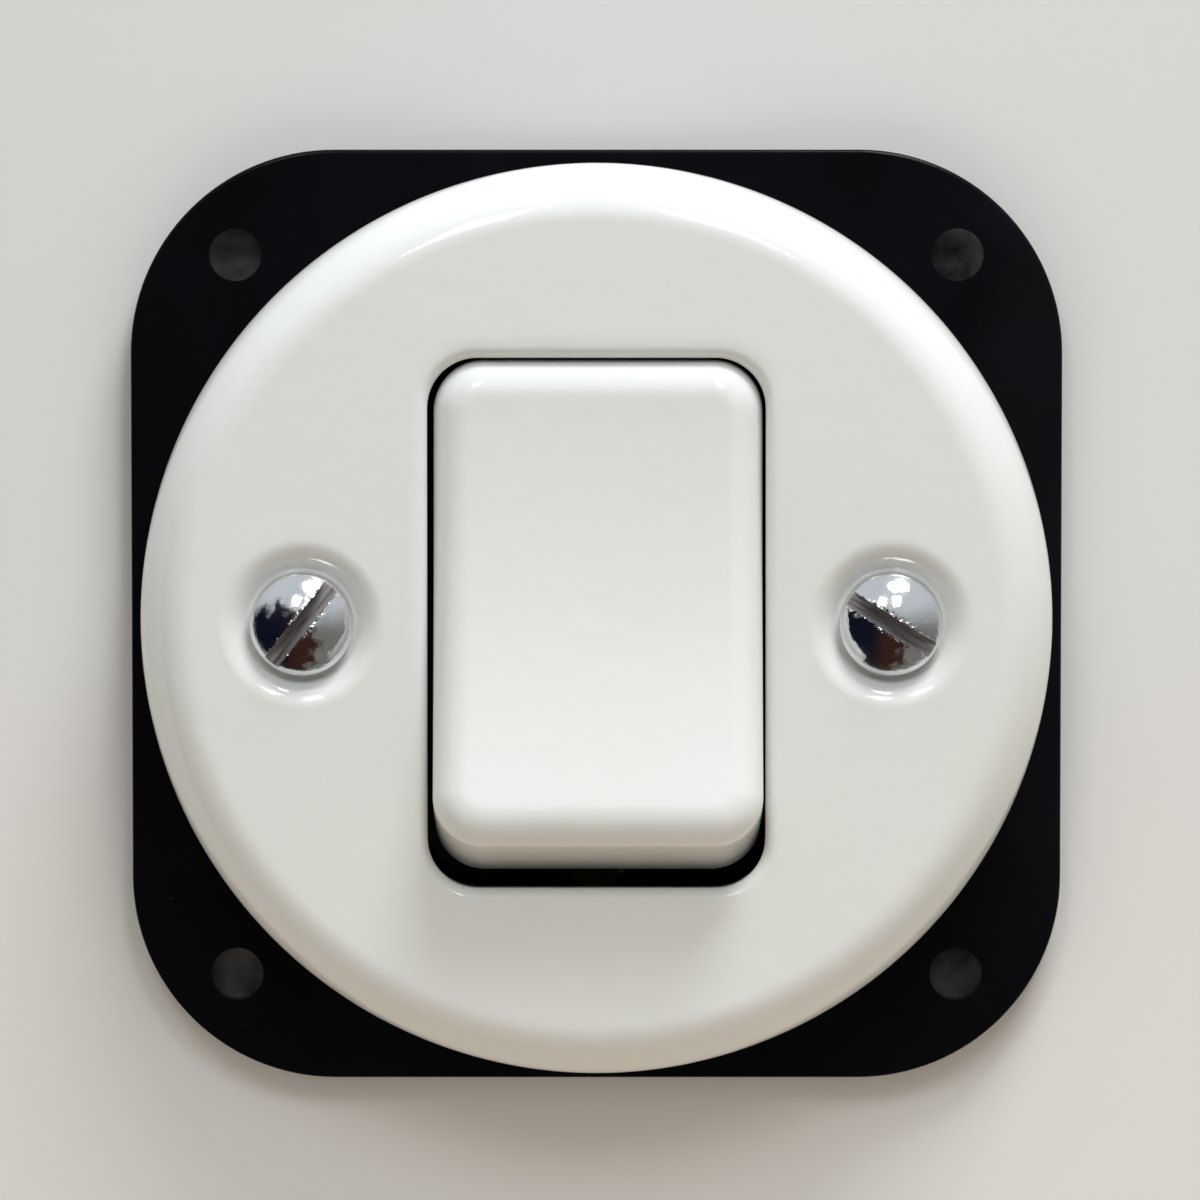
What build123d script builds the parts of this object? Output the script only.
from build123d import *
from math import atan2, cos, degrees, hypot, pi, radians, sin, sqrt
import os

# Intermediate rocker switch for a wall box.
# X points right, Y points into the wall and Z points up.
# The origin is the centre of the mounting plate's rear face, so the room is on the minus Y side.

# Mounting plate, black enamelled steel
plate_side = 71.0
plate_thickness = 1.5
plate_corner_radius = 15.5
plate_edge_round = 0.3
corner_hole_pitch = 55.0
corner_hole_diameter = 4.0

# Round porcelain cover
cover_diameter = 69.0
cover_height = 10.5
cover_wall = 4.0
cover_roll_width = 4.3
cover_roll_depth = 6.0
cover_inner_round = 2.5
cover_foot_round = 0.5
opening_width = 25.6
opening_height = 40.0
opening_corner_radius = 3.7
opening_edge_round = 1.7
collar_wall = 2.4
collar_height = 7.0

# Screws that hold the cover, and the threaded bushes in the plate that they enter
cover_screw_pitch = 44.2
cover_screw_diameter = 4.0
cover_screw_length = 16.0
cover_screw_head_diameter = 7.7
cover_screw_head_side = 0.6
cover_screw_head_height = 2.9
cover_screw_slot_width = 1.1
cover_screw_slot_depth = 1.5
left_slot_angle = 51.0
right_slot_angle = -32.0
screw_hole_play = 0.3
cover_boss_diameter = 11.6
dimple_depth = 1.5
dimple_play = 0.25
dimple_flare = 1.5
dimple_edge_round = 1.3
bush_diameter = 6.0
bush_length = 7.0
bush_spigot_diameter = 5.0

# Porcelain rocker, drawn upright about its pivot and then tilted with its top pressed in
rocker_tilt = 9.0
rocker_side_clearance = 0.3
rocker_end_clearance = 0.55
rocker_offset = 0.12
rocker_height = 13.3
rocker_end_draft = 1.5
rocker_dish = 1.7
rocker_corner_radius = 3.5
rocker_edge_round = 2.2
rocker_side_wall = 2.7
rocker_end_wall = 3.6
rocker_cavity_round = 2.0
rocker_stop_gap = 0.1
pivot_above_plate = 0.5

# Moulded carrier that is cemented into the rocker and turns on two stub pins
carrier_play = 0.2
carrier_front = 8.4
carrier_plate_thickness = 2.0
carrier_post_diameter = 5.6
carrier_post_reach = 4.5
carrier_hub_diameter = 4.8
carrier_rib = 1.6
carrier_rib_length = 26.0
pin_diameter = 2.0
pin_engagement = 3.4
pin_overhang = 0.5
pin_play = 0.05

# Steel pivot bracket, clamped between the plate and the base
bracket_thickness = 1.0
bracket_width = 25.0
bracket_height = 15.0
bracket_gap = 0.3
ear_width = 8.4
ear_round = 2.2
ear_above_pin = 1.3
bracket_corner_radius = 1.5
bend_radius = 0.8
window_play = 0.3
window_corner_radius = 1.0

# Contact blades, which rock on the edges of the two common strips
blade_spacing = 10.4
blade_hinge_depth = 7.4
blade_angle = 6.0
blade_width = 5.4
blade_end_margin = 1.7
strip_thickness = 0.8
blade_rear_offset = 0.2
blade_boss_diameter = 5.2
blade_boss_height = 0.8
edge_play = 0.05

# Toggle springs between the carrier and the blades
spring_wire = 0.5
spring_outer_diameter = 5.0
spring_turns = 3.5
spring_points_per_turn = 8
spring_straight_share = 0.2
spring_end_closing = 0.6
spring_end_room = 0.6
spring_stud_play = 0.4
spring_stud_height = 1.0

# Silver contacts
contact_spacing = 18.0
moving_contact_diameter = 3.0
moving_contact_height = 0.7
moving_contact_dome = 0.35
moving_shank_diameter = 1.6
moving_rivet_diameter = 2.6
moving_rivet_height = 0.4
fixed_contact_diameter = 3.4
fixed_contact_height = 0.7
fixed_shank_diameter = 2.2
fixed_rivet_height = 0.6
contact_gap = 0.05
stud_play = 0.1

# Brass strips and the insulating sheet that parts the two crossing ones
common_edge_width = 4.4
strip_width = 3.0
pad_width = 4.4
run_half_spacing = 10.6
sheet_thickness = 0.8
sheet_width = 24.4
sheet_end_margin = 3.0
sheet_corner_radius = 1.0

# Ceramic switch base
base_width = 52.0
base_height = 48.0
base_corner_radius = 14.0
base_edge_round = 0.8
chamber_width = 17.6
chamber_height = 29.2
chamber_corner_radius = 2.0
web_thickness = 2.4
recess_width = 25.0
recess_height = 27.6
recess_round = 1.0
seat_play = 0.1
bush_notch_play = 0.5
rear_rim = 0.5

# Rear cover with its two rivets
rear_cover_thickness = 1.5
rear_cover_width = 27.4
rear_cover_height = 29.2
rear_cover_headroom = 0.6
pillar_diameter = 4.6
rear_rivet_pitch = 25.2
rear_rivet_diameter = 2.0
rear_rivet_head_diameter = 3.4
rear_rivet_head_height = 0.6

# Base screws and nuts
base_screw_pitch = 36.0
base_screw_diameter = 3.0
base_screw_head_diameter = 5.6
base_screw_head_height = 1.3
base_screw_slot_width = 0.8
base_screw_slot_depth = 0.7
base_screw_tip = 0.6
nut_width = 5.5
nut_thickness = 2.4
nut_seat_depth = 10.0

# Terminal blocks with their clamp screws
terminal_pitch_x = 37.8
terminal_pitch_z = 24.4
terminal_width = 7.0
terminal_height = 8.0
terminal_depth = 8.0
terminal_chamfer = 0.4
wire_hole_diameter = 3.0
wire_hole_depth = 7.0
strip_socket_depth = 1.8
clamp_screw_diameter = 3.0
clamp_head_diameter = 5.0
clamp_head_height = 2.0
clamp_head_lift = 0.6
clamp_head_chamfer = 0.3
clamp_slot_width = 0.8
clamp_slot_depth = 0.9
clamp_screw_setback = 3.0
niche_play = 0.2
channel_overrun = 0.1

# Depths along Y, from the room to the wall
plate_front = -plate_thickness
cover_face = plate_front - cover_height
cover_ceiling = cover_face + cover_wall
collar_back = cover_face + collar_height
screw_seat = cover_face + dimple_depth
pivot_y = plate_front - pivot_above_plate

# Half sizes and radii that several pieces share
cover_radius = cover_diameter / 2
screw_x = cover_screw_pitch / 2
dimple_radius = cover_screw_head_diameter / 2 + dimple_play
rocker_half_width = opening_width / 2 - rocker_side_clearance
rocker_half_length = opening_height / 2 - rocker_end_clearance
rocker_front_half_length = rocker_half_length - rocker_end_draft
cavity_half_width = rocker_half_width - rocker_side_wall
cavity_half_length = rocker_half_length - rocker_end_wall
blade_x = blade_spacing / 2
blade_length = contact_spacing + 2 * blade_end_margin
sheet_height = contact_spacing + 2 * sheet_end_margin
contact_z = contact_spacing / 2
stud_radius = spring_outer_diameter / 2 - spring_wire - spring_stud_play
hub_end = blade_x + carrier_post_diameter / 2
ear_inner = hub_end + bracket_gap
ear_outer = ear_inner + bracket_thickness
ear_tip = pivot_y - pin_diameter / 2 - ear_above_pin
window_width = 2 * (ear_outer + pin_overhang + window_play)
window_height = ear_width + 2 * window_play
edge_radius = strip_thickness / 2
groove_radius = edge_radius + edge_play

# The skirt stops just short of the plate when an end is pressed in
tilt = radians(rocker_tilt)
rocker_skirt = (rocker_stop_gap - pivot_above_plate + rocker_half_length * sin(tilt)) / cos(tilt)

# A closed contact's dome sets how deep the fixed contacts and all that is behind them lie
rock = radians(blade_angle)
moving_dome_radius = moving_contact_diameter ** 2 / (8 * moving_contact_dome) + moving_contact_dome / 2
dome_centre = blade_rear_offset + moving_contact_height - moving_dome_radius
closed_depth = dome_centre * cos(rock) + contact_z * sin(rock) + moving_dome_radius
fixed_face = blade_hinge_depth + closed_depth + contact_gap
chamber_floor = fixed_face + fixed_contact_height
web_rear = chamber_floor + web_thickness
strip_back = web_rear + strip_thickness
sheet_back = strip_back + sheet_thickness
outer_strip_back = sheet_back + strip_thickness
rear_ledge = outer_strip_back + fixed_rivet_height + rear_cover_headroom
rear_cover_back = rear_ledge + rear_cover_thickness
base_back = rear_cover_back + rear_rim

# Terminals lie a little inside the base's rear face
terminal_x = terminal_pitch_x / 2
terminal_z = terminal_pitch_z / 2
terminal_back = base_back - rear_rim
terminal_front = terminal_back - terminal_depth
clamp_screw_y = terminal_back - clamp_screw_setback
niche_inner = terminal_x - terminal_width / 2 - niche_play

cut_margin = 1.0


def slab(outline, front, back):
    """Solid with an outline drawn on the X-Z plane, between two depths along Y."""
    return extrude(Plane.XZ.offset(-back) * outline, back - front)


def disc(diameter, front, back, x=0.0, z=0.0):
    """Round bar along Y."""
    return slab(Pos(x, z) * Circle(diameter / 2), front, back)


def cross_bar(diameter, start, end, y=0.0, z=0.0):
    """Round bar along X."""
    bar_outline = Plane.YZ.offset(start) * Pos(y, z) * Circle(diameter / 2)
    return extrude(bar_outline, end - start)


def turned(*lines):
    """Solid turned about the Y axis from profile lines drawn as radius and depth."""
    return revolve(make_face(Curve() + list(lines)), Axis.Y)


def dome_line(radius, shoulder, top):
    """Profile line of a round cap from its rim, at a radius and depth, to its top on the Y axis."""
    rise = top - shoulder
    sphere = (radius ** 2 + rise ** 2) / (2 * rise)
    middle = top - sphere + (1 if rise > 0 else -1) * sqrt(sphere ** 2 - (radius / 2) ** 2)
    return ThreePointArc((radius, shoulder), (radius / 2, middle), (0, top))


def flat_bar(start, end, width):
    """Outline of a strip with round ends between two points of the X-Z plane."""
    run = (end[0] - start[0], end[1] - start[1])
    middle = ((start[0] + end[0]) / 2, (start[1] + end[1]) / 2)
    angle = degrees(atan2(run[1], run[0]))
    return Pos(*middle) * Rot(Z=angle) * SlotCenterToCenter(hypot(*run), width)


def rest_tilt(shape):
    """Move a rocker piece from its drawing, upright about the origin, to its rest pose."""
    return Pos(0, pivot_y, 0) * Rot(X=-rocker_tilt) * shape


def rest_rock(shape, side):
    """Move a blade piece from its drawing, upright about the origin, to its rest pose."""
    return Pos(side * blade_x, blade_hinge_depth, 0) * Rot(X=-blade_angle) * shape


def mounting_plate():
    """Flat plate with four corner holes, the mechanism's window and the fixing holes."""
    outline = RectangleRounded(plate_side, plate_side, plate_corner_radius)
    plate = slab(outline, plate_front, 0)
    rims = plate.edges().filter_by(lambda edge: abs(edge.center().Y - plate_front) < 0.01)
    plate = fillet(rims, plate_edge_round)
    pitch = corner_hole_pitch
    holes = GridLocations(pitch, pitch, 2, 2) * Circle(corner_hole_diameter / 2)
    plate -= slab(Sketch() + holes, plate_front - cut_margin, cut_margin)
    window = RectangleRounded(window_width, window_height, window_corner_radius)
    plate -= slab(window, plate_front - cut_margin, cut_margin)
    for side in (-1, 1):
        plate -= disc(bush_spigot_diameter, plate_front, 0, x=side * screw_x)
        plate -= disc(base_screw_diameter + 2 * stud_play, plate_front, 0, z=side * base_screw_pitch / 2)
        plate -= Pos(0, 0, side * base_screw_pitch / 2) * countersink()
    return plate


def countersink():
    """Cone of a flush screw head, on the Y axis with its wide end at the plate's front."""
    return turned(
        Polyline(
            (0, plate_front),
            (base_screw_head_diameter / 2, plate_front),
            (base_screw_diameter / 2, plate_front + base_screw_head_height),
            (0, plate_front + base_screw_head_height),
            close=True,
        )
    )


def cover_bush(side):
    """Threaded brass bush with a spigot that is riveted flush in the plate."""
    bush = disc(bush_diameter, 0, bush_length) + disc(bush_spigot_diameter, plate_front, 0)
    bush -= disc(cover_screw_diameter, plate_front - cut_margin, bush_length + cut_margin)
    return Pos(side * screw_x, 0, 0) * bush


def cover_shell():
    """Turned body of the cover: flat face, rolled rim and hollow back."""
    face_edge = cover_radius - cover_roll_width
    roll_end = cover_face + cover_roll_depth
    inner = cover_radius - cover_wall
    return turned(
        Line((0, cover_face), (face_edge, cover_face)),
        EllipticalCenterArc((face_edge, roll_end), cover_roll_width, cover_roll_depth, 270, arc_size=90),
        Line((cover_radius, roll_end), (cover_radius, plate_front - cover_foot_round)),
        RadiusArc(
            (cover_radius, plate_front - cover_foot_round),
            (cover_radius - cover_foot_round, plate_front),
            cover_foot_round,
        ),
        Polyline(
            (cover_radius - cover_foot_round, plate_front),
            (inner, plate_front),
            (inner, cover_ceiling + cover_inner_round),
        ),
        RadiusArc(
            (inner, cover_ceiling + cover_inner_round),
            (inner - cover_inner_round, cover_ceiling),
            -cover_inner_round,
        ),
        Polyline((inner - cover_inner_round, cover_ceiling), (0, cover_ceiling), (0, cover_face)),
    )


def screw_dimple():
    """Soft dish, on the Y axis, in which a cover screw's head sits."""
    return turned(
        Polyline(
            (0, screw_seat),
            (dimple_radius, screw_seat),
            (dimple_radius + dimple_flare, cover_face - cut_margin),
            (0, cover_face - cut_margin),
            close=True,
        )
    )


def porcelain_cover():
    """Round cover with the rocker's opening, its collar and the two screw bosses."""
    opening = RectangleRounded(opening_width, opening_height, opening_corner_radius)
    collar = RectangleRounded(
        opening_width + 2 * collar_wall,
        opening_height + 2 * collar_wall,
        opening_corner_radius + collar_wall,
    )
    root = cover_ceiling - cover_wall / 2
    cover = cover_shell() + slab(collar, root, collar_back)
    for side in (-1, 1):
        cover += disc(cover_boss_diameter, root, plate_front, x=side * screw_x)
    cover -= slab(opening, cover_face - cut_margin, collar_back + cut_margin)
    for side in (-1, 1):
        hole_diameter = cover_screw_diameter + 2 * screw_hole_play
        cover -= disc(hole_diameter, cover_face, plate_front + cut_margin, x=side * screw_x)
        cover -= Pos(side * screw_x, 0, 0) * screw_dimple()
    face = cover.faces().filter_by(Plane.XZ).sort_by(Axis.Y)[0]
    opening_reach = hypot(opening_width, opening_height) / 2
    opening_edges = face.edges().filter_by(
        lambda edge: abs(edge.center().X) < opening_width / 2 + 0.1
        and hypot(edge.center().X, edge.center().Z) < opening_reach
    )
    cover = fillet(opening_edges, opening_edge_round)
    face = cover.faces().filter_by(Plane.XZ).sort_by(Axis.Y)[0]
    dimple_reach = dimple_radius + 2 * dimple_flare
    dimple_edges = face.edges().filter_by(
        lambda edge: hypot(abs(edge.center().X) - screw_x, edge.center().Z) < dimple_reach
    )
    return fillet(dimple_edges, dimple_edge_round)


def cover_screw(side, slot_angle):
    """Slotted round-head screw, seated in its dimple, with its shank in the bush."""
    radius = cover_screw_head_diameter / 2
    shoulder = screw_seat - cover_screw_head_side
    top = screw_seat - cover_screw_head_height
    head = turned(
        Polyline((0, top), (0, screw_seat), (radius, screw_seat), (radius, shoulder)),
        dome_line(radius, shoulder, top),
    )
    shank = disc(cover_screw_diameter, screw_seat, screw_seat + cover_screw_length)
    slot = slab(
        Rot(Z=slot_angle) * Rectangle(2 * cover_screw_head_diameter, cover_screw_slot_width),
        top - cut_margin,
        top + cover_screw_slot_depth,
    )
    return Pos(side * screw_x, 0, 0) * (head + shank - slot)


def porcelain_rocker():
    """Dished rocker with drafted ends, rolled edges and a hollow for its carrier."""
    outline = make_face(
        Curve()
        + [
            Polyline(
                (-rocker_height, -rocker_front_half_length),
                (-rocker_skirt, -rocker_half_length),
                (-rocker_skirt, rocker_half_length),
                (-rocker_height, rocker_front_half_length),
            ),
            ThreePointArc(
                (-rocker_height, rocker_front_half_length),
                (rocker_dish - rocker_height, 0),
                (-rocker_height, -rocker_front_half_length),
            ),
        ]
    )
    body = extrude(Plane.YZ * outline, rocker_half_width, both=True)
    corners = body.edges().filter_by(
        lambda edge: abs(edge.center().Z) > rocker_front_half_length
        and abs(edge.center().X) > rocker_half_width - 0.1
    )
    body = fillet(corners, rocker_corner_radius)
    body = fillet(body.faces().sort_by(Axis.Y)[0].edges(), rocker_edge_round)
    cavity = RectangleRounded(2 * cavity_half_width, 2 * cavity_half_length, rocker_cavity_round)
    body -= slab(cavity, -carrier_front, -rocker_skirt + cut_margin)
    return rest_tilt(Pos(rocker_offset, 0, 0) * body)


def rocker_carrier():
    """Moulded carrier: plate in the rocker's hollow, two spring posts, a pivot hub and ribs."""
    plate_back = -carrier_front + carrier_plate_thickness
    outline = RectangleRounded(
        2 * (cavity_half_width - carrier_play),
        2 * (cavity_half_length - carrier_play),
        rocker_cavity_round,
    )
    carrier = slab(outline, -carrier_front, plate_back)
    carrier += cross_bar(carrier_hub_diameter, -hub_end, hub_end)
    carrier += slab(Rectangle(blade_spacing, carrier_rib), plate_back, 0)
    gusset = make_face(
        Polyline(
            (plate_back, -carrier_rib_length / 2),
            (plate_back, carrier_rib_length / 2),
            (-carrier_rib, carrier_hub_diameter / 2),
            (-carrier_rib, -carrier_hub_diameter / 2),
            close=True,
        )
    )
    for side in (-1, 1):
        x = side * blade_x
        carrier += disc(carrier_post_diameter, plate_back, carrier_post_reach, x=x)
        carrier += disc(2 * stud_radius, carrier_post_reach, carrier_post_reach + spring_stud_height, x=x)
        carrier += extrude(Plane.YZ.offset(x) * gusset, carrier_rib / 2, both=True)
        hole_ends = sorted((side * (hub_end - pin_engagement), side * (hub_end + cut_margin)))
        carrier -= cross_bar(pin_diameter, *hole_ends)
    return rest_tilt(carrier)


def pivot_pin(side):
    """Stub pin, pressed into the carrier's hub and turning in a bracket ear."""
    ends = sorted((side * (hub_end - pin_engagement), side * (ear_outer + pin_overhang)))
    return rest_tilt(cross_bar(pin_diameter, *ends))


def pivot_bracket():
    """Bent sheet bracket: a flat frame with two ears lanced out of its middle."""
    outline = RectangleRounded(bracket_width, bracket_height, bracket_corner_radius)
    bracket = slab(outline, 0, bracket_thickness)
    bracket -= slab(Rectangle(2 * ear_inner, ear_width), -cut_margin, bracket_thickness + cut_margin)
    ear_length = bracket_thickness - ear_tip
    ear = Pos(bracket_thickness - ear_length / 2, 0) * Rectangle(ear_length, ear_width)
    ear = fillet(ear.vertices().group_by(Axis.X)[0], ear_round)
    ear -= Pos(pivot_y, 0) * Circle(pin_diameter / 2 + pin_play)
    for start in (-ear_outer, ear_inner):
        bracket += extrude(Plane.YZ.offset(start) * ear, bracket_thickness)
    bends = bracket.edges().filter_by(Axis.Z).filter_by(
        lambda edge: abs(abs(edge.center().X) - ear_inner) < 0.01
        and abs(edge.center().Y - bracket_thickness) < 0.01
    )
    return fillet(bends, bend_radius)


def contact_blade(side):
    """Rocking blade with a spring boss in front and a groove behind for its knife edge."""
    front = blade_rear_offset - strip_thickness
    boss_front = front - blade_boss_height
    outline = RectangleRounded(blade_width, blade_length, blade_width / 3)
    blade = slab(outline, front, blade_rear_offset)
    blade += disc(blade_boss_diameter, boss_front, front)
    blade += disc(2 * stud_radius, boss_front - spring_stud_height, boss_front)
    groove_mouth = Rectangle(2 * groove_radius, 2 * groove_radius)
    groove = Circle(groove_radius) + Pos(groove_radius, 0) * groove_mouth
    groove_half_length = common_edge_width / 2 + edge_play
    blade -= extrude(Plane.YZ * groove, groove_half_length, both=True)
    for end in (-1, 1):
        blade -= disc(moving_shank_diameter, front, blade_rear_offset, z=end * contact_z)
    return rest_rock(blade, side)


def blade_contacts(side):
    """Two domed contacts riveted through the ends of a blade."""
    front = blade_rear_offset - strip_thickness
    head = moving_contact_diameter / 2
    shank = moving_shank_diameter / 2
    rivet = moving_rivet_diameter / 2
    tip = blade_rear_offset + moving_contact_height
    contact = turned(
        Polyline(
            (0, tip),
            (0, front - moving_rivet_height),
            (rivet, front - moving_rivet_height),
            (rivet, front),
            (shank, front),
            (shank, blade_rear_offset),
            (head, blade_rear_offset),
            (head, tip - moving_contact_dome),
        ),
        dome_line(head, tip - moving_contact_dome, tip),
    )
    pair = [rest_rock(Pos(0, 0, end * contact_z) * contact, side) for end in (-1, 1)]
    return Compound(children=pair)


def spring_ends():
    """Depth and height of the two spring seats at rest, and the lean of each."""
    boss_front = blade_rear_offset - strip_thickness - blade_boss_height
    post = (pivot_y + carrier_post_reach * cos(tilt), -carrier_post_reach * sin(tilt))
    boss = (blade_hinge_depth + boss_front * cos(rock), -boss_front * sin(rock))
    return post, boss, hypot(boss[0] - post[0], boss[1] - post[1])


def spring_point(share, lift):
    """Depth and height of a point beside the spring's centre line, at a share of its length."""
    post, boss, length = spring_ends()
    blend_share = 1 - 2 * spring_straight_share
    weight = min(max((share - spring_straight_share) / blend_share, 0.0), 1.0)
    weight = weight * weight * (3 - 2 * weight)
    along_post = share * length
    along_boss = (share - 1) * length
    from_post = (
        post[0] + along_post * cos(tilt) + lift * sin(tilt),
        post[1] - along_post * sin(tilt) + lift * cos(tilt),
    )
    from_boss = (
        boss[0] + along_boss * cos(rock) + lift * sin(rock),
        boss[1] - along_boss * sin(rock) + lift * cos(rock),
    )
    return [(1 - weight) * near + weight * far for near, far in zip(from_post, from_boss)]


def toggle_spring(side):
    """Coil spring, bent between the carrier's post and the blade's boss as both lean."""
    count = int(spring_turns * spring_points_per_turn)
    coil_radius = (spring_outer_diameter - spring_wire) / 2
    end_share = spring_wire * spring_end_room / spring_ends()[2]
    points = []
    for step in range(count + 1):
        fraction = step / count
        closed = fraction - spring_end_closing * sin(2 * pi * fraction) / (2 * pi)
        angle = 2 * pi * spring_turns * fraction
        share = end_share + closed * (1 - 2 * end_share)
        depth, height = spring_point(share, coil_radius * sin(angle))
        points.append((side * blade_x + coil_radius * cos(angle), depth, height))
    path = Spline(*points)
    return sweep((path ^ 0) * Circle(spring_wire / 2), path)


def fixed_contact(side, end, back):
    """Flat-faced contact stud, riveted over behind the strip that it feeds."""
    x = side * blade_x
    z = end * contact_z
    stud = disc(fixed_contact_diameter, fixed_face, chamber_floor, x=x, z=z)
    stud += disc(fixed_shank_diameter, chamber_floor, back, x=x, z=z)
    return stud + disc(fixed_contact_diameter, back, back + fixed_rivet_height, x=x, z=z)


def terminal_arm(side, end):
    """Outline of a strip's last stretch, which ends square in a terminal's socket."""
    tip = terminal_x - terminal_width / 2 + strip_socket_depth
    length = tip - run_half_spacing
    middle = (run_half_spacing + tip) / 2
    return Pos(side * middle, end * terminal_z) * Rectangle(length, strip_width)


def common_strip(side):
    """Strip from the upper terminal of one side to the edge that the blade rocks on."""
    outline = flat_bar((side * blade_x, 0), (side * run_half_spacing, 0), strip_width)
    outline += flat_bar((side * run_half_spacing, 0), (side * run_half_spacing, terminal_z), strip_width)
    outline += terminal_arm(side, 1)
    outline += Pos(side * blade_x, 0) * Rectangle(common_edge_width, strip_width)
    edge_outline = Rectangle(common_edge_width, strip_thickness)
    strip = slab(outline, web_rear, strip_back)
    strip += slab(Pos(side * blade_x, 0) * edge_outline, blade_hinge_depth, web_rear)
    start = side * blade_x - common_edge_width / 2
    return strip + cross_bar(strip_thickness, start, start + common_edge_width, y=blade_hinge_depth)


def link_strip(side, front):
    """Diagonal strip between two fixed contacts, with an arm to a lower terminal."""
    upper = (-side * blade_x, contact_z)
    lower = (side * blade_x, -contact_z)
    outline = flat_bar(upper, lower, strip_width)
    outline += flat_bar(lower, (side * run_half_spacing, -terminal_z), strip_width)
    outline += terminal_arm(side, -1)
    for point in (upper, lower):
        outline += Pos(*point) * Circle(pad_width / 2)
    for point in (upper, lower):
        outline -= Pos(*point) * Circle(fixed_shank_diameter / 2)
    return slab(outline, front, front + strip_thickness)


def insulating_sheet():
    """Sheet between the two crossing strips, cut out round the studs and pillars."""
    outline = RectangleRounded(sheet_width, sheet_height, sheet_corner_radius)
    head_hole = Circle(fixed_contact_diameter / 2 + stud_play)
    shank_hole = Circle(fixed_shank_diameter / 2 + stud_play)
    for side in (-1, 1):
        outline -= Pos(-side * blade_x, side * contact_z) * head_hole
        outline -= Pos(side * blade_x, side * contact_z) * shank_hole
        outline -= Pos(0, side * rear_rivet_pitch / 2) * Circle(pillar_diameter / 2 + stud_play)
    return slab(outline, strip_back, sheet_back)


def terminal_socket(side, end):
    """Depth of the strip that a terminal takes: only the lower left one takes the outer strip."""
    return sheet_back if (side, end) == (-1, -1) else web_rear


def terminal(side, end):
    """Brass block with a wire hole from the rear, a strip socket and a clamp screw's hole."""
    place = Pos(side * terminal_x, end * terminal_z)
    block = slab(place * Rectangle(terminal_width, terminal_height), terminal_front, terminal_back)
    block = chamfer(block.faces().sort_by(Axis.Y)[-1].edges(), terminal_chamfer)
    wire_hole_floor = terminal_back - wire_hole_depth
    block -= slab(place * Circle(wire_hole_diameter / 2), wire_hole_floor, terminal_back + cut_margin)
    socket = terminal_socket(side, end)
    inner = terminal_x - terminal_width / 2
    socket_place = Pos(side * (inner + (strip_socket_depth - cut_margin) / 2), end * terminal_z)
    socket_outline = socket_place * Rectangle(strip_socket_depth + cut_margin, strip_width)
    block -= slab(socket_outline, socket, socket + strip_thickness)
    hole_ends = sorted((side * terminal_x, side * (terminal_x + terminal_width)))
    return block - cross_bar(clamp_screw_diameter, *hole_ends, y=clamp_screw_y, z=end * terminal_z)


def clamp_screw(side, end):
    """Cheese-head screw in a terminal's outer face, backed off to leave the wire hole free."""
    tip = terminal_x + wire_hole_diameter / 2
    neck = terminal_x + terminal_width / 2 + clamp_head_lift
    top = neck + clamp_head_height
    place = {"y": clamp_screw_y, "z": end * terminal_z}
    screw = cross_bar(clamp_screw_diameter, *sorted((side * tip, side * neck)), **place)
    head = cross_bar(clamp_head_diameter, *sorted((side * neck, side * top)), **place)
    head = chamfer(head.edges().sort_by(Axis.X)[-1 if side > 0 else 0], clamp_head_chamfer)
    slot_middle = (side * top, clamp_screw_y, end * terminal_z)
    slot = Pos(*slot_middle) * Box(2 * clamp_slot_depth, 2 * clamp_head_diameter, clamp_slot_width)
    return screw + head - slot


def base_cuts():
    """Everything that is hollow in the ceramic base."""
    chamber = RectangleRounded(chamber_width, chamber_height, chamber_corner_radius)
    cuts = slab(chamber, -cut_margin, chamber_floor)
    bracket_seat = RectangleRounded(
        bracket_width + 2 * seat_play, bracket_height + 2 * seat_play, bracket_corner_radius
    )
    cuts += slab(bracket_seat, -cut_margin, bracket_thickness)
    recess = slab(RectangleRounded(recess_width, recess_height, recess_round), web_rear, base_back)
    for end in (-1, 1):
        recess -= disc(pillar_diameter, web_rear, rear_ledge, z=end * rear_rivet_pitch / 2)
    cuts += recess
    cover_seat = RectangleRounded(
        rear_cover_width + 2 * seat_play, rear_cover_height + 2 * seat_play, recess_round
    )
    cuts += slab(cover_seat, rear_ledge, base_back + cut_margin)
    for end in (-1, 1):
        rivet_z = end * rear_rivet_pitch / 2
        screw_z = end * base_screw_pitch / 2
        cuts += disc(rear_rivet_diameter, chamber_floor, rear_ledge, z=rivet_z)
        cuts += disc(base_screw_diameter + 2 * stud_play, -cut_margin, nut_seat_depth, z=screw_z)
        nut_pocket = RegularPolygon(nut_width / 2 + seat_play, 6, major_radius=False)
        cuts += slab(Pos(0, screw_z) * nut_pocket, nut_seat_depth, base_back + cut_margin)
    for side in (-1, 1):
        slot = Pos(side * blade_x, 0) * Rectangle(
            common_edge_width + 2 * stud_play, strip_thickness + 2 * stud_play
        )
        cuts += slab(slot, chamber_floor, web_rear)
        notch_width = bush_diameter + 2 * bush_notch_play
        notch_end = base_width / 2 + cut_margin
        notch = Pos(side * screw_x, 0) * Circle(notch_width / 2)
        notch += Pos(side * (screw_x + notch_end) / 2, 0) * Rectangle(notch_end - screw_x, notch_width)
        cuts += slab(notch, -cut_margin, bush_length + bush_notch_play)
        for end in (-1, 1):
            stud_hole = fixed_shank_diameter + 2 * stud_play
            cuts += disc(stud_hole, chamber_floor, web_rear, x=side * blade_x, z=end * contact_z)
            cuts += terminal_niche(side, end)
    return cuts


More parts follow.
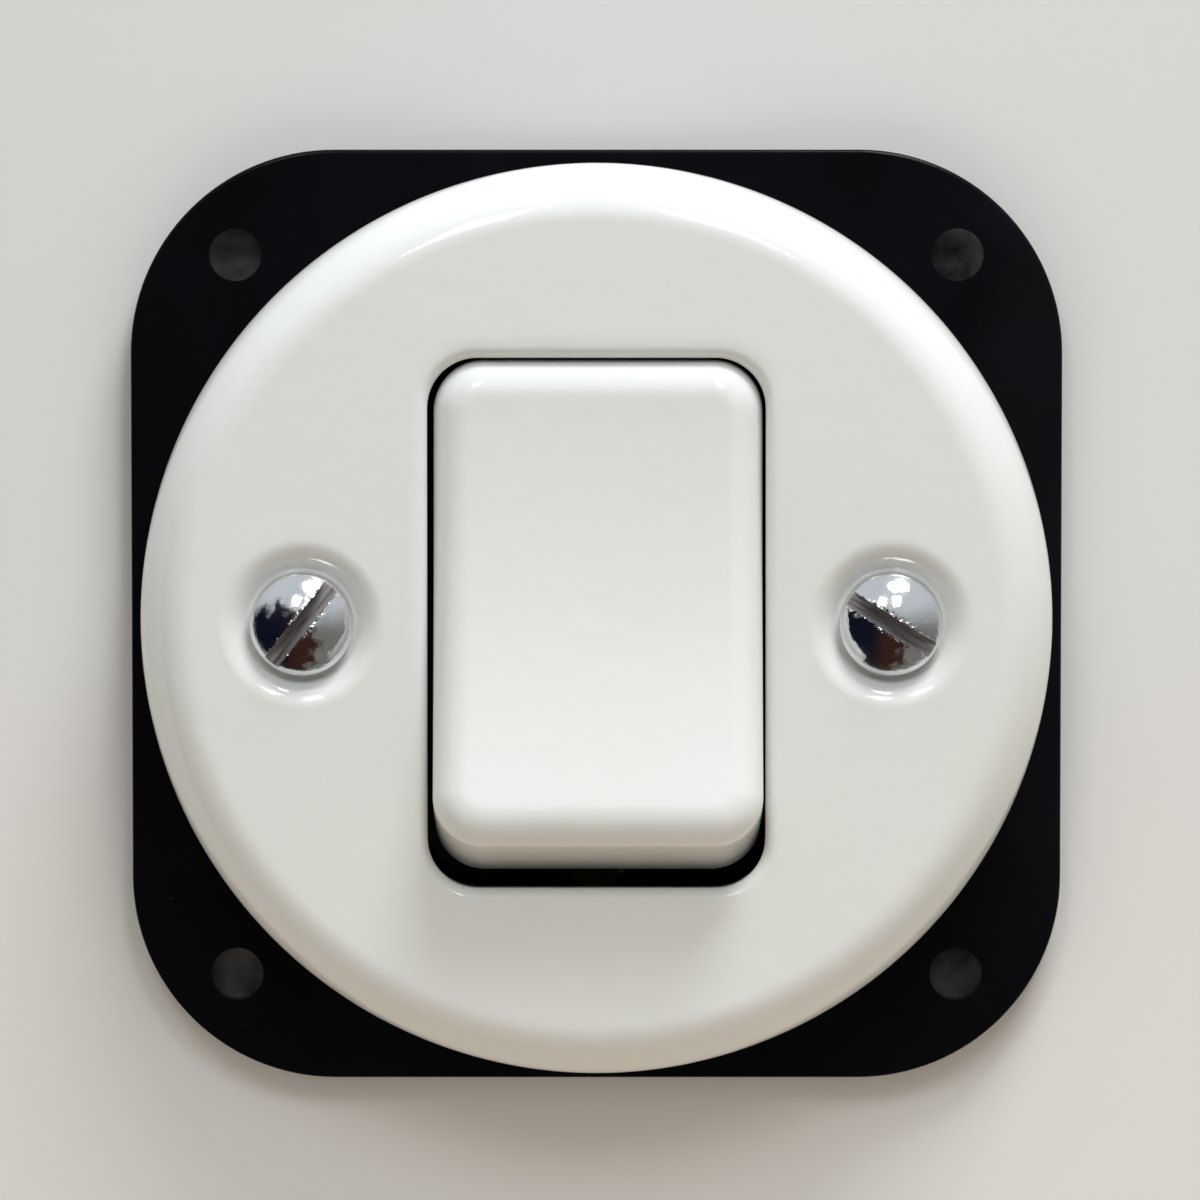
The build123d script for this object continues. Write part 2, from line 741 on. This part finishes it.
def terminal_niche(side, end):
    """Corner niche for a terminal, open to the side and the rear, with its strip's channel."""
    outer = base_width / 2 + cut_margin
    middle = side * (niche_inner + outer) / 2
    outline = Rectangle(outer - niche_inner, terminal_height + 2 * niche_play)
    niche = slab(Pos(middle, end * terminal_z) * outline, terminal_front, base_back + cut_margin)
    channel_start = recess_width / 2 - cut_margin
    channel_middle = side * (channel_start + niche_inner) / 2
    channel_length = niche_inner - channel_start + 2 * channel_overrun
    channel_outline = Rectangle(channel_length, strip_width + 2 * seat_play)
    channel = slab(
        Pos(channel_middle, end * terminal_z) * channel_outline,
        terminal_socket(side, end),
        base_back + cut_margin,
    )
    return niche + channel


def switch_base():
    """Ceramic base with a contact chamber in front and the wiring recesses behind."""
    block = slab(RectangleRounded(base_width, base_height, base_corner_radius), 0, base_back)
    block = fillet(block.faces().sort_by(Axis.Y)[-1].edges(), base_edge_round)
    return block - base_cuts()


def rear_cover():
    """Insulating rear cover, riveted over the wiring recess."""
    outline = RectangleRounded(rear_cover_width, rear_cover_height, recess_round)
    cover = slab(outline, rear_ledge, rear_cover_back)
    for end in (-1, 1):
        z = end * rear_rivet_pitch / 2
        cover -= disc(rear_rivet_diameter, rear_ledge, rear_cover_back, z=z)
    return cover


def rear_cover_rivets():
    """Two rivets through the rear cover, the pillars and the base's web."""
    rivets = []
    for end in (-1, 1):
        z = end * rear_rivet_pitch / 2
        rivet = disc(rear_rivet_diameter, chamber_floor, rear_cover_back, z=z)
        head_height = rear_rivet_head_height
        rivet += disc(rear_rivet_head_diameter, chamber_floor - head_height, chamber_floor, z=z)
        rivet += disc(rear_rivet_head_diameter, rear_cover_back, rear_cover_back + head_height, z=z)
        rivets.append(rivet)
    return Compound(children=rivets)


def base_screw(end):
    """Flush screw that clamps the base and the bracket to the plate."""
    tip = nut_seat_depth + nut_thickness + base_screw_tip
    screw = countersink() + disc(base_screw_diameter, plate_front + base_screw_head_height, tip)
    slot = Rectangle(2 * base_screw_head_diameter, base_screw_slot_width)
    screw -= slab(slot, plate_front - cut_margin, plate_front + base_screw_slot_depth)
    return Pos(0, 0, end * base_screw_pitch / 2) * screw


def base_nut(end):
    """Hexagon nut in its pocket at the rear of the base."""
    outline = RegularPolygon(nut_width / 2, 6, major_radius=False) - Circle(base_screw_diameter / 2)
    z = end * base_screw_pitch / 2
    return slab(Pos(0, z) * outline, nut_seat_depth, nut_seat_depth + nut_thickness)


def all_pieces():
    """Every piece of the switch under its own name."""
    pieces = {
        "mounting_plate": mounting_plate(),
        "porcelain_cover": porcelain_cover(),
        "cover_screw_left": cover_screw(-1, left_slot_angle),
        "cover_screw_right": cover_screw(1, right_slot_angle),
        "porcelain_rocker": porcelain_rocker(),
        "rocker_carrier": rocker_carrier(),
        "pivot_bracket": pivot_bracket(),
        "switch_base": switch_base(),
        "insulating_sheet": insulating_sheet(),
        "link_strip_inner": link_strip(1, web_rear),
        "link_strip_outer": link_strip(-1, sheet_back),
        "rear_cover": rear_cover(),
        "rear_cover_rivets": rear_cover_rivets(),
    }
    sides = {"left": -1, "right": 1}
    ends = {"bottom": -1, "top": 1}
    for side_name, side in sides.items():
        pieces[f"cover_bush_{side_name}"] = cover_bush(side)
        pieces[f"pivot_pin_{side_name}"] = pivot_pin(side)
        pieces[f"toggle_spring_{side_name}"] = toggle_spring(side)
        pieces[f"contact_blade_{side_name}"] = contact_blade(side)
        pieces[f"blade_contacts_{side_name}"] = blade_contacts(side)
        pieces[f"common_strip_{side_name}"] = common_strip(side)
        for end_name, end in ends.items():
            corner = f"{end_name}_{side_name}"
            stud_back = outer_strip_back if side == end else strip_back
            pieces[f"fixed_contact_{corner}"] = fixed_contact(side, end, stud_back)
            pieces[f"terminal_{corner}"] = terminal(side, end)
            pieces[f"clamp_screw_{corner}"] = clamp_screw(side, end)
    for end_name, end in ends.items():
        pieces[f"base_screw_{end_name}"] = base_screw(end)
        pieces[f"base_nut_{end_name}"] = base_nut(end)
    return pieces


os.makedirs("parts", exist_ok=True)
for node_name, piece in all_pieces().items():
    export_step(piece, f"parts/{node_name}.step")
